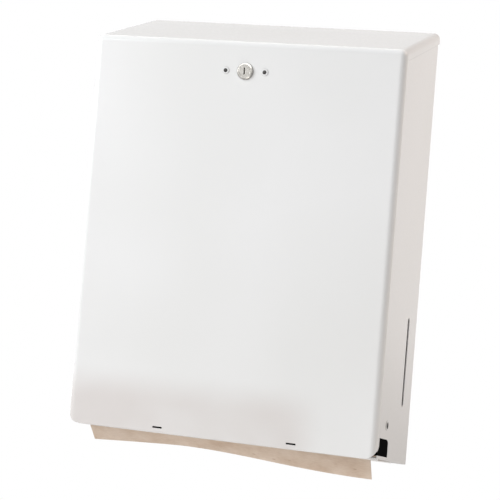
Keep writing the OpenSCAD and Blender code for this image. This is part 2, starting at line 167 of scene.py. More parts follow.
def stovedEnamel():
    # stoving enamel sprayed on sheet steel: an even white with a soft gloss, a faint orange peel,
    # slow waves of the thin sheet that bend its reflections, painted shade in the seams from ambient
    # occlusion, and a painted soft shadow low on the front that gets darker towards the bottom
    look = enamelLook
    made, tree = newMaterial("whiteStovedEnamel")
    where = addNode(tree, "ShaderNodeTexCoord").outputs["Object"]
    # the real peel is about 1 mm across, drawn coarser so that it shows
    peel = addNode(
        tree, "ShaderNodeTexNoise", Vector=where, Scale=perMetre(look["peelMm"]), Detail=2.0,
    ).outputs["Fac"]
    wave = addNode(
        tree, "ShaderNodeTexNoise", Vector=where, Scale=perMetre(look["waveMm"]), Detail=1.0,
    ).outputs["Fac"]
    film = addNode(tree, "ShaderNodeValToRGB", {"stops": look["film"]}, Fac=wave).outputs["Color"]
    # painted shade: ambient occlusion darkens the paint colour in the seams and inside corners
    openAir = addNode(
        tree, "ShaderNodeAmbientOcclusion", {"samples": 8}, Distance=look["seamMm"] * mm,
    ).outputs["AO"]
    seam = addNode(
        tree, "ShaderNodeMapRange", Value=openAir, From_Min=look["seamDark"], From_Max=look["seamClear"],
        To_Min=look["seamShade"], To_Max=1.0,
    ).outputs["Result"]
    place = addNode(tree, "ShaderNodeSeparateXYZ", Vector=where)
    # painted shade low on the front: a soft grey patch, broken by noise, faded in along x, y and z and mixed
    # into the paint colour
    shadeBlotch = addNode(
        tree, "ShaderNodeTexNoise", Vector=where, Scale=perMetre(look["shadeBlotchMm"]), Detail=2.0,
    ).outputs["Fac"]
    reach = addNode(
        tree, "ShaderNodeMapRange", Value=shadeBlotch, From_Min=look["shadeBlotchFrom"], From_Max=look["shadeBlotchFull"],
        To_Min=look["paintedFrontShadeLeast"], To_Max=look["paintedFrontShadeMost"],
    ).outputs["Result"]
    for axis in "XYZ":
        start, full = look["paintedFrontShade" + axis]
        within = addNode(
            tree, "ShaderNodeMapRange", {"interpolation_type": "SMOOTHSTEP"},
            Value=place.outputs[axis], From_Min=start, From_Max=full,
        ).outputs["Result"]
        reach = addNode(tree, "ShaderNodeMath", {"operation": "MULTIPLY"}, i0=reach, i1=within).outputs[0]
    frontShaded = addNode(
        tree, "ShaderNodeMix", {"data_type": "RGBA"}, i0=reach, i6=film, i7=linear(look["paintedFrontShade"]),
    ).outputs[2]
    tint = addNode(
        tree, "ShaderNodeMix", {"data_type": "RGBA", "blend_type": "MULTIPLY"}, i0=1.0, i6=frontShaded, i7=seam,
    ).outputs[2]
    gloss = addNode(
        tree, "ShaderNodeMapRange", Value=peel, To_Min=look["roughLeast"], To_Max=look["roughMost"],
    ).outputs["Result"]
    sheetWave = addNode(
        tree, "ShaderNodeBump", Strength=look["waveBump"], Distance=look["waveHighMm"] * mm, Height=wave,
    ).outputs["Normal"]
    skin = addNode(
        tree, "ShaderNodeBump", Strength=look["peelBump"], Distance=look["peelHighMm"] * mm, Height=peel,
        Normal=sheetWave,
    ).outputs["Normal"]
    shader = addNode(
        tree, "ShaderNodeBsdfPrincipled", Base_Color=tint, Roughness=gloss, IOR=look["ior"], Normal=skin,
    )
    addNode(tree, "ShaderNodeOutputMaterial", Surface=shader.outputs["BSDF"])
    return made


nickelLook = {
    "plate": ((0.3, "#A5A29C"), (0.65, "#D0CDC8")),  # dull, bright
    "roughLeast": 0.16,
    "roughMost": 0.32,
    "lineMm": 0.5,
    "lineBump": 0.15,
    "lineHighMm": 0.05,
}


def brightNickel():
    # nickel plating over turned brass: a warm bright metal, finely broken by the marks of the tool
    look = nickelLook
    made, tree = newMaterial("brightNickelPlate")
    where = addNode(tree, "ShaderNodeTexCoord").outputs["Object"]
    line = addNode(
        tree, "ShaderNodeTexNoise", Vector=where, Scale=perMetre(look["lineMm"]), Detail=3.0,
    ).outputs["Fac"]
    tint = addNode(tree, "ShaderNodeValToRGB", {"stops": look["plate"]}, Fac=line).outputs["Color"]
    gloss = addNode(
        tree, "ShaderNodeMapRange", Value=line, To_Min=look["roughLeast"], To_Max=look["roughMost"],
    ).outputs["Result"]
    skin = addNode(
        tree, "ShaderNodeBump", Strength=look["lineBump"], Distance=look["lineHighMm"] * mm, Height=line,
    ).outputs["Normal"]
    shader = addNode(
        tree, "ShaderNodeBsdfPrincipled", Base_Color=tint, Metallic=1.0, Roughness=gloss, Normal=skin,
    )
    addNode(tree, "ShaderNodeOutputMaterial", Surface=shader.outputs["BSDF"])
    return made


zincLook = {
    "plate": ((0.35, "#BFC2C4"), (0.95, "#94979A")),  # bright, dull
    "roughLeast": 0.3,
    "roughMost": 0.5,
    "spangleMm": 3.0,
    "spangleShare": 0.5,
    "gritMm": 0.6,
    "gritBump": 0.2,
    "gritHighMm": 0.05,
}


def zincPlate():
    # electroplated zinc on cold rolled steel: a cool grey with a soft mottle
    look = zincLook
    made, tree = newMaterial("zincPlatedSteel")
    where = addNode(tree, "ShaderNodeTexCoord").outputs["Object"]
    cell = addNode(
        tree, "ShaderNodeTexVoronoi", Vector=where, Scale=perMetre(look["spangleMm"]),
    ).outputs["Distance"]
    grit = addNode(
        tree, "ShaderNodeTexNoise", Vector=where, Scale=perMetre(look["gritMm"]), Detail=4.0,
    ).outputs["Fac"]
    mottle = addNode(
        tree, "ShaderNodeMath", {"operation": "MULTIPLY_ADD"}, i0=cell, i1=look["spangleShare"], i2=grit,
    ).outputs[0]
    tint = addNode(tree, "ShaderNodeValToRGB", {"stops": look["plate"]}, Fac=mottle).outputs["Color"]
    gloss = addNode(
        tree, "ShaderNodeMapRange", Value=mottle, To_Min=look["roughLeast"], To_Max=look["roughMost"],
    ).outputs["Result"]
    skin = addNode(
        tree, "ShaderNodeBump", Strength=look["gritBump"], Distance=look["gritHighMm"] * mm, Height=grit,
    ).outputs["Normal"]
    shader = addNode(
        tree, "ShaderNodeBsdfPrincipled", Base_Color=tint, Metallic=1.0, Roughness=gloss, Normal=skin,
    )
    addNode(tree, "ShaderNodeOutputMaterial", Surface=shader.outputs["BSDF"])
    return made


nylonLook = {
    "black": ((0.35, "#060606"), (0.75, "#0E0E0E")),  # fresh, worn
    "roughLeast": 0.7,
    "roughMost": 0.9,
    "ior": 1.53,
    "specular": 0.003,  # almost none, since the blocks sit in a dark notch
    "grainMm": 0.7,
    "grainBump": 0.3,
    "grainHighMm": 0.1,
}


def mouldedNylon():
    # black nylon moulded in a spark-eroded tool: matte, with a fine even grain
    look = nylonLook
    made, tree = newMaterial("blackMouldedNylon")
    where = addNode(tree, "ShaderNodeTexCoord").outputs["Object"]
    grain = addNode(
        tree, "ShaderNodeTexNoise", Vector=where, Scale=perMetre(look["grainMm"]), Detail=3.0,
    ).outputs["Fac"]
    tint = addNode(tree, "ShaderNodeValToRGB", {"stops": look["black"]}, Fac=grain).outputs["Color"]
    gloss = addNode(
        tree, "ShaderNodeMapRange", Value=grain, To_Min=look["roughLeast"], To_Max=look["roughMost"],
    ).outputs["Result"]
    skin = addNode(
        tree, "ShaderNodeBump", Strength=look["grainBump"], Distance=look["grainHighMm"] * mm, Height=grain,
    ).outputs["Normal"]
    shader = addNode(
        tree, "ShaderNodeBsdfPrincipled", Base_Color=tint, IOR=look["ior"],
        Specular_IOR_Level=look["specular"], Roughness=gloss, Normal=skin,
    )
    addNode(tree, "ShaderNodeOutputMaterial", Surface=shader.outputs["BSDF"])
    return made


paperLook = {
    "pulp": ((0.5, "#CBB6A3"), (0.72, "#D7C5B4"), (0.95, "#E0D0C1")),  # dark, middle, light
    "roughness": 0.92,
    "ior": 1.45,
    "specular": 0.25,
    "stretch": 0.22,  # fibres and crepe lie along the sheet's width
    "fibreMm": 0.9,
    "fibreShare": 0.45,
    "cloudMm": 22,
    "crepeMm": 1.3,
    "crepeBend": 0.4,
    "crepeShare": 1.6,
    "crepeBump": 0.5,
    "crepeHighMm": 0.25,
    "fleck": "#AE947D",
    "fleckMm": 5,
    "fleckEdge": ((0.05, "#FFFFFF"), (0.1, "#000000")),  # inside a fleck, outside it
    "creviceMm": 40,
    "creviceShade": 0.9,
    "creviceDark": 0.82,  # share of open air where a crevice is darkest, and where it ends
    "creviceClear": 1.0,
}


def kraftTowel():
    # unbleached creped kraft towel: soft and matte, with crepe ridges along the width, tangled fibres,
    # cloudy formation and a few darker bark flecks, and darker where the cover shuts the light out
    look = paperLook
    made, tree = newMaterial("unbleachedCrepedKraft")
    where = addNode(tree, "ShaderNodeTexCoord").outputs["Object"]
    along = addNode(
        tree, "ShaderNodeMapping", Vector=where, Scale=(look["stretch"], 1.0, 1.0),
    ).outputs["Vector"]
    fibre = addNode(
        tree, "ShaderNodeTexNoise", Vector=along, Scale=perMetre(look["fibreMm"]), Detail=4.0,
    ).outputs["Fac"]
    cloud = addNode(
        tree, "ShaderNodeTexNoise", Vector=where, Scale=perMetre(look["cloudMm"]), Detail=3.0,
    ).outputs["Fac"]
    # real crepe is about 0.4 mm from ridge to ridge, drawn coarser so that it shows
    crepe = addNode(
        tree, "ShaderNodeTexNoise", Vector=along, Scale=perMetre(look["crepeMm"]), Detail=1.0,
        Distortion=look["crepeBend"],
    ).outputs["Fac"]
    fleck = addNode(
        tree, "ShaderNodeTexVoronoi", Vector=along, Scale=perMetre(look["fleckMm"]),
    ).outputs["Distance"]
    tone = addNode(
        tree, "ShaderNodeMath", {"operation": "MULTIPLY_ADD"}, i0=fibre, i1=look["fibreShare"], i2=cloud,
    ).outputs[0]
    pulp = addNode(tree, "ShaderNodeValToRGB", {"stops": look["pulp"]}, Fac=tone).outputs["Color"]
    spot = addNode(tree, "ShaderNodeValToRGB", {"stops": look["fleckEdge"]}, Fac=fleck).outputs["Color"]
    flecked = addNode(
        tree, "ShaderNodeMix", {"data_type": "RGBA"}, i0=spot, i6=pulp, i7=linear(look["fleck"]),
    ).outputs[2]
    openAir = addNode(
        tree, "ShaderNodeAmbientOcclusion", {"samples": 8}, Distance=look["creviceMm"] * mm,
    ).outputs["AO"]
    crevice = addNode(
        tree, "ShaderNodeMapRange", Value=openAir,
        From_Min=look["creviceDark"], From_Max=look["creviceClear"],
        To_Min=look["creviceShade"], To_Max=1.0,
    ).outputs["Result"]
    tint = addNode(
        tree, "ShaderNodeMix", {"data_type": "RGBA", "blend_type": "MULTIPLY"},
        i0=1.0, i6=flecked, i7=crevice,
    ).outputs[2]
    height = addNode(
        tree, "ShaderNodeMath", {"operation": "MULTIPLY_ADD"}, i0=crepe, i1=look["crepeShare"], i2=fibre,
    ).outputs[0]
    skin = addNode(
        tree, "ShaderNodeBump", Strength=look["crepeBump"], Distance=look["crepeHighMm"] * mm, Height=height,
    ).outputs["Normal"]
    shader = addNode(
        tree, "ShaderNodeBsdfPrincipled", Base_Color=tint, Roughness=look["roughness"], IOR=look["ior"],
        Specular_IOR_Level=look["specular"], Normal=skin,
    )
    addNode(tree, "ShaderNodeOutputMaterial", Surface=shader.outputs["BSDF"])
    return made


pinLook = {
    "oxideAndBoreShade": ((0.35, "#2B2A29"), (0.7, "#4A4846")),  # full oxide, bared steel; both kept dark as painted shade of the hollow bores
    "roughness": 0.55,
    "metallic": 0.3,
    "breakMm": 0.8,
    "breakBump": 0.4,
    "breakHighMm": 0.1,
}


def pinOxideAndBoreShade():
    # a rivet's steel pin, snapped off and left bare: dark oxide with a torn, grainy face, drawn darker as
    # painted shade of the rivet's hollow bore
    look = pinLook
    made, tree = newMaterial("oxidisedPinAndBoreShade")
    where = addNode(tree, "ShaderNodeTexCoord").outputs["Object"]
    grain = addNode(
        tree, "ShaderNodeTexNoise", Vector=where, Scale=perMetre(look["breakMm"]), Detail=3.0,
    ).outputs["Fac"]
    tint = addNode(tree, "ShaderNodeValToRGB", {"stops": look["oxideAndBoreShade"]}, Fac=grain).outputs["Color"]
    skin = addNode(
        tree, "ShaderNodeBump", Strength=look["breakBump"], Distance=look["breakHighMm"] * mm, Height=grain,
    ).outputs["Normal"]
    shader = addNode(
        tree, "ShaderNodeBsdfPrincipled", Base_Color=tint, Metallic=look["metallic"],
        Roughness=look["roughness"], Normal=skin,
    )
    addNode(tree, "ShaderNodeOutputMaterial", Surface=shader.outputs["BSDF"])
    return made


enamel = stovedEnamel()
nickel = brightNickel()
zinc = zincPlate()
nylon = mouldedNylon()
kraft = kraftTowel()
oxideAndBoreShade = pinOxideAndBoreShade()
print("materials made")


# Camera at the photograph's angle

view = {
    "place": (450.1, -1508.1, 50.6),
    "yaw": 17.58,
    "pitch": 0.84,
    "roll": 4.38,
    "sensor": 36,
    "lens": 122.1,
    "shiftY": -0.09,
}


def placeCamera():
    yaw, pitch, roll = (math.radians(view[k]) for k in ("yaw", "pitch", "roll"))
    back = Vector((math.sin(yaw) * math.cos(pitch), -math.cos(yaw) * math.cos(pitch), math.sin(pitch)))
    right = Vector((math.cos(yaw), math.sin(yaw), 0))
    up = back.cross(right)
    axisX = right * math.cos(roll) + up * math.sin(roll)
    axisY = up * math.cos(roll) - right * math.sin(roll)
    turn = Matrix((axisX, axisY, back)).transposed().to_4x4()
    lens = bpy.data.cameras.new("camera")
    lens.sensor_width = view["sensor"]
    lens.lens = view["lens"]
    lens.shift_y = view["shiftY"]
    made = bpy.data.objects.new("camera", lens)
    scene.collection.objects.link(made)
    made.matrix_world = Matrix.Translation(Vector(view["place"]) * mm) @ turn
    scene.camera = made


placeCamera()
print("camera placed")


# Front cover: one sheet, swept down the front, round the ridge and back along the top

coverCut = {
    "edge": 6.0,  # radius of the long round edges and of the ridge
    "wrap": 9.5,  # how far the returns reach back over the sides
    "mitre": 1.0,  # least radius inside the ridge
    "sheet": 1.0,
    "corner": 10.0,
    "slope": 12.0,
    "edgeSteps": 16,
    "cornerSteps": 8,
    "ridgeSteps": 14,
    "frontRows": 14,
    "topRows": 6,
    "softEdge": 0.25,
    "shadeAngle": 35,
    "slotX": (-55.5, 65.5),
    "slotSize": (8.6, 1.4),
    "slotFoot": 3.7,
    "lockHole": 5.6,
    "lockRound": 48,
    "rivetX": 17.5,
    "rivetHole": 2.1,
    "rivetRound": 24,
    "punchOut": 2,  # how far the punch starts before the front, and how deep it goes
    "punchIn": 3,
}


def coverSection(halfWidth):
    # (depth, x) round the sheet: outer face from left to right, then the inner face back
    cut = coverCut
    flat = halfWidth - cut["edge"]
    start = halfWidth - cut["corner"]
    level = [start + (flat - start) * i / cut["cornerSteps"] for i in range(cut["cornerSteps"])]
    turns = [math.pi / 2 * i / cut["edgeSteps"] for i in range(cut["edgeSteps"] + 1)]

    def face(radius):
        right = [(cut["edge"] - radius, x) for x in level]
        right += [(cut["edge"] - radius * math.cos(t), flat + radius * math.sin(t)) for t in turns]
        left = [(depth, -x) for depth, x in reversed(right)]
        wide = flat + radius
        return [(cut["wrap"], -wide)] + left + right + [(cut["wrap"], wide)]

    return face(cut["edge"]) + face(cut["edge"] - cut["sheet"])[::-1]


def makeCover():
    cut = coverCut
    low, high = (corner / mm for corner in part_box("front_cover"))
    halfWidth, bottom, front, back = high.x, low.z, low.y, high.y
    slope = math.radians(cut["slope"])
    turnEnd = math.pi / 2 - slope
    corner = cut["corner"]
    section = coverSection(halfWidth)

    def foot(x):
        over = abs(x) - (halfWidth - corner)
        return bottom if over <= 0 else bottom + corner - math.sqrt(max(corner ** 2 - over ** 2, 0))

    def bend(depth):
        radius = max(cut["edge"] - depth, cut["mitre"])
        inward = depth + radius
        y = front + inward
        return radius, y, high.z - (back - y) * math.tan(slope) - inward / math.cos(slope)

    def ridgePoint(depth, x, turn):
        radius, y, z = bend(depth)
        return x, y - radius * math.cos(turn), z + radius * math.sin(turn)

    rows = []
    for i in range(cut["frontRows"]):
        share = i / cut["frontRows"]
        rows.append([(x, front + d, foot(x) + (bend(d)[2] - foot(x)) * share) for d, x in section])
    for i in range(cut["ridgeSteps"] + 1):
        turn = turnEnd * i / cut["ridgeSteps"]
        rows.append([ridgePoint(d, x, turn) for d, x in section])
    for i in range(1, cut["topRows"] + 1):
        row = []
        for d, x in section:
            _, y, z = ridgePoint(d, x, turnEnd)
            run = (back - y) * i / cut["topRows"]
            row.append((x, y + run, z + run * math.tan(slope)))
        rows.append(row)
    count = len(section)
    points = [Vector(p) * mm for row in rows for p in row]
    faces = []
    for r in range(len(rows) - 1):
        for j in range(count):
            k = (j + 1) % count
            faces.append((r * count + j, (r + 1) * count + j, (r + 1) * count + k, r * count + k))
    # the sheet's two cut ends, at the foot and at the back of the top
    last = (len(rows) - 1) * count
    for j in range(count // 2 - 1):
        i = count - 1 - j
        faces.append((j, j + 1, i - 1, i))
        faces.append((last + j, last + i, last + i - 1, last + j + 1))
    made = newPiece("frontCover", points, faces)
    shape = bmesh.new()
    shape.from_mesh(made.data)
    bmesh.ops.recalc_face_normals(shape, faces=shape.faces)
    shape.to_mesh(made.data)
    shape.free()
    return made


def addBox(shape, lowest, highest):
    made = bmesh.ops.create_cube(shape, size=1)
    middle = (Vector(lowest) + Vector(highest)) / 2
    size = Vector(highest) - Vector(lowest)
    for vert in made["verts"]:
        vert.co = Vector(a * b + c for a, b, c in zip(vert.co, size, middle)) * mm


def addRodY(shape, x, z, radius, y0, y1, segments):
    place = Matrix.Translation(Vector((x, (y0 + y1) / 2, z)) * mm) @ Matrix.Rotation(math.pi / 2, 4, "X")
    bmesh.ops.create_cone(
        shape, cap_ends=True, segments=segments, radius1=radius * mm, radius2=radius * mm,
        depth=abs(y1 - y0) * mm, matrix=place,
    )


def cutCover(cover):
    # punches the two slots, the lock's hole and the rivets' holes
    cut = coverCut
    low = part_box("front_cover")[0] / mm
    lockLow, lockHigh = (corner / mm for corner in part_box("lock_barrel"))
    lockZ = (lockLow.z + lockHigh.z) / 2
    before = low.y - cut["punchOut"]
    behind = low.y + cut["punchIn"]
    foot = low.z + cut["slotFoot"]
    wide, high = cut["slotSize"]
    shape = bmesh.new()
    for x in cut["slotX"]:
        addBox(shape, (x - wide / 2, before, foot), (x + wide / 2, behind, foot + high))
    addRodY(shape, 0, lockZ, cut["lockHole"], before, behind, cut["lockRound"])
    for side in (-1, 1):
        addRodY(shape, side * cut["rivetX"], lockZ, cut["rivetHole"], before, behind, cut["rivetRound"])
    bmesh.ops.recalc_face_normals(shape, faces=shape.faces)
    mesh = bpy.data.meshes.new("coverPunch")
    shape.to_mesh(mesh)
    shape.free()
    punch = bpy.data.objects.new("coverPunch", mesh)
    scene.collection.objects.link(punch)
    step = cover.modifiers.new("punch", "BOOLEAN")
    step.operation = "DIFFERENCE"
    step.solver = "EXACT"
    step.object = punch
    finished(cover)
    bpy.data.objects.remove(punch)


edgeCut = {"angle": 40, "segments": 2, "weld": 0.004, "flatAngle": 0.5}


def softenEdges(piece, width, weld=False, flat=False):
    if weld:
        step = piece.modifiers.new("weld", "WELD")
        step.merge_threshold = edgeCut["weld"] * mm
    if flat:
        # joins the triangles of a sheet's flat faces, so that their edges leave no lines in the gloss
        step = piece.modifiers.new("joinFlat", "DECIMATE")
        step.decimate_type = "DISSOLVE"
        step.angle_limit = math.radians(edgeCut["flatAngle"])
    step = piece.modifiers.new("soften", "BEVEL")
    step.width = width * mm
    step.segments = edgeCut["segments"]
    step.limit_method = "ANGLE"
    step.angle_limit = math.radians(edgeCut["angle"])
    step.use_clamp_overlap = False
    step = piece.modifiers.new("evenNormals", "WEIGHTED_NORMAL")
    step.keep_sharp = True


cover = makeCover()
cutCover(cover)
softenEdges(cover, coverCut["softEdge"])
finished(cover)
smoothShade(cover, coverCut["shadeAngle"])
cover.modifiers.new("evenNormals", "WEIGHTED_NORMAL").keep_sharp = True
dress(cover, enamel, "cover", "enamel", "front_cover")
print("front cover made,", len(cover.data.polygons), "faces")


# Towels: drawn as folded lines of (distance back, height) on the sloped shelf

towel = {
    "slope": 10.0,
    "shelf": -194.3,
    "width": 258.0,
    "shift": 1.0,
    "front": -117.28,
    "fold": 104.0,  # depth of a folded towel
    "lipEnd": -110.5,
    "hang": 25.0,
    "paper": 0.22,
    "across": 72,
    "shadeAngle": 60,
}


def onShelf(x, s, n):
    turn = math.radians(towel["slope"])
    y = s * math.cos(turn) + n * math.sin(turn)
    z = towel["shelf"] - s * math.sin(turn) + n * math.cos(turn)
    return Vector((x, y, z)) * mm


def turnPoints(centre, radius, start, stop, steps):
    made = []
    for i in range(steps + 1):
        a = math.radians(start + (stop - start) * i / steps)
        made.append((centre[0] + radius * math.cos(a), centre[1] + radius * math.sin(a)))
    return made


def runPoints(start, stop, count):
    # the points between two ends, without the ends
    return [
        (start[0] + (stop[0] - start[0]) * i / count, start[1] + (stop[1] - start[1]) * i / count)
        for i in range(1, count)
    ]


def sheetFrom(name, rows):
    wide = len(rows[0])
    points = [p for row in rows for p in row]
    faces = [
        (r * wide + j, r * wide + j + 1, (r + 1) * wide + j + 1, (r + 1) * wide + j)
        for r in range(len(rows) - 1) for j in range(wide - 1)
    ]
    made = newPiece(name, points, faces)
    step = made.modifiers.new("paper", "SOLIDIFY")
    step.thickness = towel["paper"] * mm
    step.offset = 0
    finished(made)
    smoothShade(made, towel["shadeAngle"])
    return made


leadCut = {
    "droop": 25.7,  # the flap's least droop, and where across the width it is
    "low": -0.175,
    "left": 10.6,  # how much more the flap droops at its two ends
    "right": 24.4,
    "leftCurve": 1.3,
    "tucked": 2.0,  # heights of the panels: tucked in, upper, on the lip, and inside behind the lip
    "upper": 2.5,
    "onLip": 0.5,
    "inside": 1.64,
    "tuckGap": 2.0,
    "rearGap": 0.5,
    "rearRoom": 0.4,  # middle of the rear fold, and how far round it goes
    "rearTurn": 60,
    "frontGap": 1.2,
    "frontRoom": 1.05,  # middle of the front fold
    "lipGap": 0.6,
    "pastLip": (0.2, 0.42),  # where the flap starts to hang
    "bow": 0.25,
    "tip": 0.3,  # radius of the fold at the flap's low edge
    "flapGap": 0.62,  # between the flap's two layers
    "backTurn": 0.8,
    "rise": (2.2, 1.35),  # how the back layer turns in over the shelf
    "insideRun": (5, 46),
    "panelSteps": 13,
    "rearSteps": 4,
    "frontSteps": 10,
    "lipSteps": 3,
    "hangSteps": 8,
    "tipSteps": 6,
    "insideSteps": 5,
}


def droopAt(x):
    cut = leadCut
    half = towel["width"] / 2
    low = cut["low"] * towel["width"]
    if x < low:
        return cut["droop"] + cut["left"] * ((low - x) / (half + low)) ** cut["leftCurve"]
    return cut["droop"] + cut["right"] * (1 - math.cos(math.pi * (x - low) / (half - low))) / 2


def leadSection(x):
    cut = leadCut
    front, lip, hang = (towel[k] for k in ("front", "lipEnd", "hang"))
    rear = front + towel["fold"]
    tucked, upper, onLip = cut["tucked"], cut["upper"], cut["onLip"]
    # the tucked panel, from its edge to the rear fold
    edge = (front + cut["tuckGap"], tucked)
    rearEnd = (rear - cut["rearGap"], tucked)
    path = [edge] + runPoints(edge, rearEnd, cut["panelSteps"]) + [rearEnd]
    rearX = rear - cut["rearRoom"]
    rearTurn = cut["rearTurn"]
    path += turnPoints(
        (rearX, (tucked + upper) / 2), (upper - tucked) / 2, -rearTurn, rearTurn, cut["rearSteps"],
    )
    # the upper panel, round the front fold and on to the lip
    frontX = front + cut["frontRoom"]
    lipEnd = (lip - cut["lipGap"], onLip)
    path += runPoints((rearX, upper), (front + cut["frontGap"], upper), cut["panelSteps"])
    path += turnPoints((frontX, (upper + onLip) / 2), (upper - onLip) / 2, 90, 270, cut["frontSteps"])
    path += runPoints((frontX, onLip), lipEnd, cut["lipSteps"]) + [lipEnd]
    # the hanging flap, down its front, round its low edge and up again
    a = math.radians(droopAt(x))
    down = Vector((math.cos(a), -math.sin(a)))
    up = Vector((math.sin(a), math.cos(a)))
    start = Vector((lip + cut["pastLip"][0], cut["pastLip"][1]))
    length = hang - 3 * cut["tip"]  # ends a little above the fold at the low edge
    for i in range(cut["hangSteps"] + 1):
        share = i / cut["hangSteps"]
        path.append(tuple(start + down * length * share + up * cut["bow"] * math.sin(math.pi * share)))
    tip = start + down * (hang - 2 * cut["tip"]) + up * cut["tip"]
    for i in range(1, cut["tipSteps"]):
        t = math.pi * i / cut["tipSteps"]
        path.append(tuple(tip + down * cut["tip"] * math.sin(t) - up * cut["tip"] * math.cos(t)))
    back = start + up * cut["flapGap"]
    for i in range(cut["hangSteps"]):
        path.append(tuple(back + down * length * (1 - i / cut["hangSteps"])))
    # the back layer, in over the shelf
    turn = back + down * cut["backTurn"]
    inside, end = ((turn.x + run, cut["inside"]) for run in cut["insideRun"])
    path += [tuple(turn), (turn.x + cut["rise"][0], cut["rise"][1]), inside]
    path += runPoints(inside, end, cut["insideSteps"]) + [end]
    return path


def makeLead():
    half = towel["width"] / 2
    rows = []
    for i in range(towel["across"] + 1):
        x = -half + towel["width"] * i / towel["across"]
        rows.append([onShelf(towel["shift"] + x, s, n) for s, n in leadSection(x)])
    return sheetFrom("leadTowel", rows)


lead = makeLead()
dress(lead, kraft, "cabinet", "kraft_paper", "lead_towel")
print("lead towel made")

packCut = {
    "count": 28,
    "low": 3.0,  # bottom and top of the stack
    "high": 37.0,
    "seed": 7,
    "slide": 2.2,  # most that a towel lies back from the front
    "skew": 0.9,
    "skewShare": 0.4,
    "skewReach": 127,
    "shortLeast": 0.2,  # how much shorter than its fold a towel is drawn
    "shortMost": 1.4,
    "narrower": 1.2,
    "ripple": 0.3,
    "rippleMm": 17,
    "rippleStart": 6.3,  # radians
    "frontGap": 0.1,
    "rearGap": 0.2,
    "tuckGap": 2,
    "layers": (0.2, 0.5, 0.8),  # heights of the lower, tucked and upper panels in a towel's thickness
    "rowsAcross": 32,
    "panelSteps": 11,
    "frontSteps": 6,
    "rearSteps": 5,
}


def foldedSection(level, thick, slide, length):
    cut = packCut
    steps = cut["panelSteps"]
    front = towel["front"] + cut["frontGap"] + slide
    rear = front + length
    low, mid, top = (level + thick * share for share in cut["layers"])
    r = (top - low) / 2
    inner = (top - mid) / 2
    edge = (rear - cut["tuckGap"], low)
    end = (front + cut["tuckGap"], mid)
    path = [edge] + runPoints(edge, (front + r, low), steps)
    path += turnPoints((front + r, (top + low) / 2), r, 270, 90, cut["frontSteps"])
    path += runPoints((front + r, top), (rear - inner, top), steps)
    path += turnPoints((rear - inner, (top + mid) / 2), inner, 90, -90, cut["rearSteps"])
    path += runPoints((rear - inner, mid), end, steps) + [end]
    return path


def makePack():
    cut = packCut
    draw = random.Random(cut["seed"])
    thick = (cut["high"] - cut["low"]) / cut["count"]
    for i in range(cut["count"]):
        level = cut["low"] + thick * i
        slide = draw.uniform(0, cut["slide"])
        skew = draw.uniform(-cut["skew"], cut["skew"])
        shift = draw.uniform(-cut["skew"], cut["skew"])
        short = draw.uniform(cut["shortLeast"], cut["shortMost"])
        wave = draw.uniform(0, cut["rippleStart"])
        length = towel["fold"] - cut["rearGap"] - slide - short
        rows = []
        for k in range(cut["rowsAcross"] + 1):
            x = (k / cut["rowsAcross"] - 0.5) * (towel["width"] - cut["narrower"])
            ripple = cut["ripple"] * math.sin(x / cut["rippleMm"] + wave)
            ripple += skew * cut["skewShare"] * (x / cut["skewReach"] + 1)
            section = foldedSection(level, thick, slide + max(ripple, -slide), length - abs(ripple))
            rows.append([onShelf(towel["shift"] + shift + x, s, n) for s, n in section])
        piece = sheetFrom("foldedTowel%02d" % (i + 1), rows)
        dress(piece, kraft, "cabinet", "kraft_paper", "towel_pack")


makePack()
print("towel pack made,", packCut["count"], "towels")


# Solids that stay as they are, with softened edges

kept = {
    "sheet": {"material": enamel, "edge": 0.25, "flat": True, "names": [
        "back_panel", "left_side_panel", "right_side_panel", "top_rail", "rear_shelf", "front_rail",
    ]},
    "rivets": {"material": enamel, "edge": 0.25, "flat": False, "names": ["block_rivets", "lock_rivets"]},
    "nylon": {"material": nylon, "edge": 0.3, "flat": True, "names": [
        "left_hinge_block", "right_hinge_block", "left_knuckle", "right_knuckle",
    ]},
    "zinc": {"material": zinc, "edge": 0.15, "flat": True, "names": [
        "hinge_rod", "lock_plate", "lock_washer", "lock_nut", "latch_cam", "cam_washer", "cam_screw",
    ]},
    "nickel": {"material": nickel, "edge": 0.12, "flat": False, "names": ["lock_barrel", "lock_plug"]},
}

for group in kept.values():
    for name in group["names"]:
        piece = nodes[name]
        piece.data.materials.clear()
        piece.data.materials.append(group["material"])
        softenEdges(piece, group["edge"], weld=True, flat=group["flat"])
print("solids dressed")


# Rivet pins: the snapped ends that fill the rivets' bores, drawn dark as painted shade of the hollow bores

pinCut = {
    "round": 24,
    "shadeAngle": 40,
    "end": ((0, 0.1), (0.45, 0.12), (0.6, -0.06), (0.86, -0.1), (1, -0.3)),  # share of the radius, height
    "block": {"node": "block_rivets", "body": "cabinet", "radius": 2.9, "proud": 0.35, "deep": 1.6},
    "lock": {"node": "lock_rivets", "body": "cover", "radius": 2.1, "proud": 0.1, "deep": 1.0},
}


def turned(name, profile, place, outward):
    # profile: (radius, height) from the middle of the end face to the foot
    count = pinCut["round"]
    turn = Vector(outward).to_track_quat("Z", "Y").to_matrix()
    angles = [2 * math.pi * i / count for i in range(count)]
    rings = [[Vector((r * math.cos(a), r * math.sin(a), h)) for a in angles] for r, h in profile[1:]]
    points = [Vector((0, 0, profile[0][1]))] + [p for ring in rings for p in ring]
    faces = [(0, 1 + i, 1 + (i + 1) % count) for i in range(count)]
    for k in range(len(rings) - 1):
        a = 1 + k * count
        b = a + count
        for i in range(count):
            j = (i + 1) % count
            faces.append((a + i, b + i, b + j, a + j))
    foot = 1 + (len(rings) - 1) * count
    faces.append(tuple(foot + i for i in reversed(range(count))))
    return newPiece(name, [(turn @ p + Vector(place)) * mm for p in points], faces)


